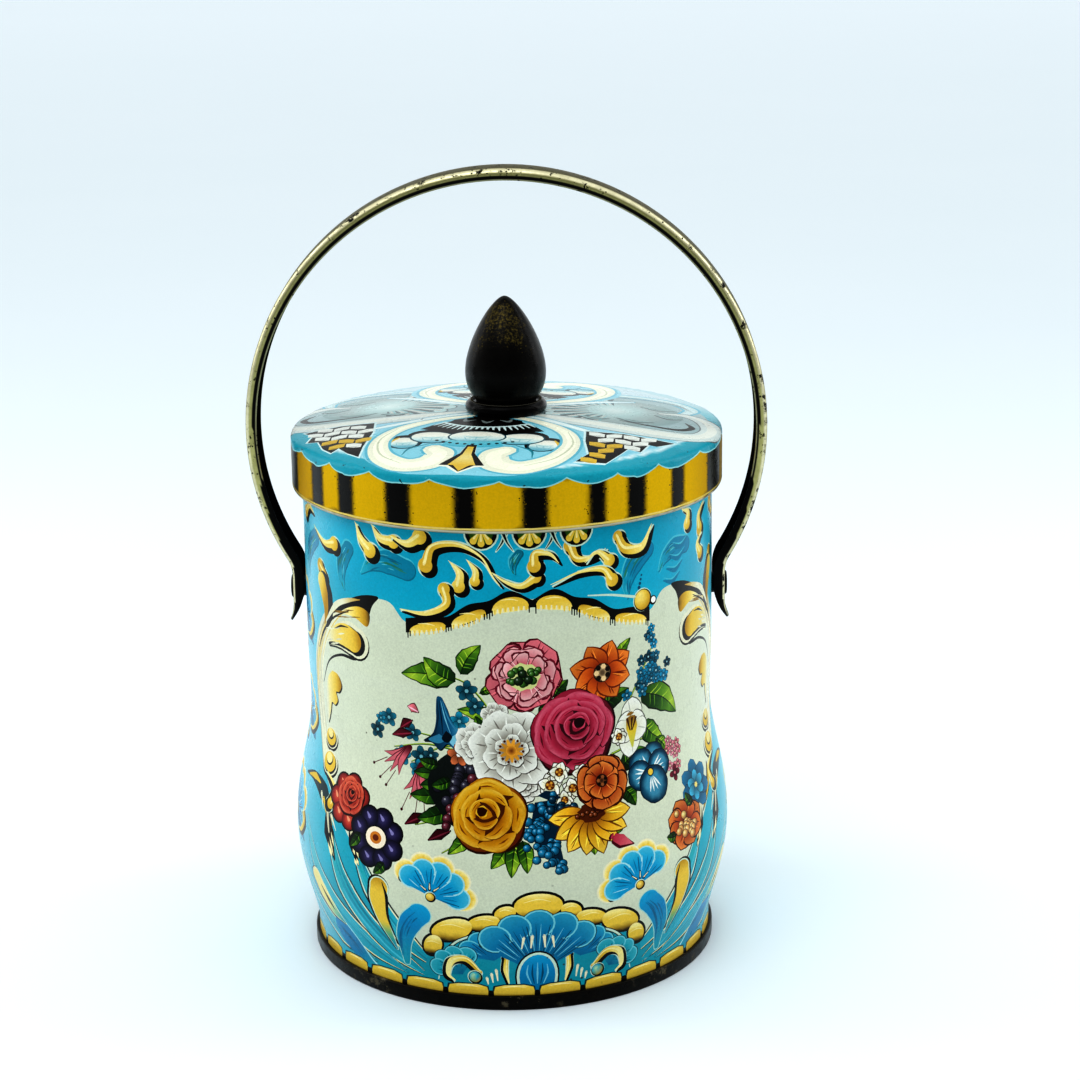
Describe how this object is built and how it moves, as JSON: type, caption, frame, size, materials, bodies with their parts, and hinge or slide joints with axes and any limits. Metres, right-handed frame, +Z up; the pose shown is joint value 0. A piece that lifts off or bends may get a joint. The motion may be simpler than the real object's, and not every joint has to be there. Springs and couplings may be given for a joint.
{
  "type": "cookie tin",
  "caption": "Round lidded tinplate cookie tin with a bulged base, lift-off domed lid, egg-shaped knob and a riveted swinging bail handle.",
  "frame": {"origin": "middle of the base, on the surface that the tin stands on", "axes": "+Z up through the knob, X along the bail's pivot line, -Y towards the front of the printed panel"},
  "size_m": [0.1302, 0.1116, 0.2004],
  "materials": {
    "printed_tinplate_body": "glossy printed turquoise and ivory with gold scrolls",
    "printed_tinplate_lid": "glossy printed turquoise, ivory and gold",
    "black_lacquered_seam": "worn gloss black",
    "gold_lacquered_strip": "worn gold lacquer",
    "black_knob": "semi-gloss black with worn gold specks",
    "dark_brass_collar": "dark polished",
    "bare_steel": "tinned, dull"
  },
  "bodies": {
    "tin": {"body_shell": "printed_tinplate_body", "base_end": "black_lacquered_seam", "bail_rivet_left": "bare_steel", "bail_rivet_right": "bare_steel", "rivet_washer_left": "bare_steel", "rivet_washer_right": "bare_steel"},
    "lid": {"lid_shell": "printed_tinplate_lid", "knob": "black_knob", "knob_collar": "dark_brass_collar", "knob_washer": "bare_steel", "knob_screw": "bare_steel"},
    "bail": {"bail_handle": "gold_lacquered_strip"}
  },
  "joints": [
    {"name": "bail_swing", "type": "hinge", "parent": "tin", "child": "bail", "pos_m": [0, 0, 0.094], "axis": [1, 0, 0], "range_deg": [-146, 146]},
    {"name": "lid_lift", "type": "slide", "parent": "tin", "child": "lid", "axis": [0, 0, 1], "range_m": [0, 0.028]}
  ]
}
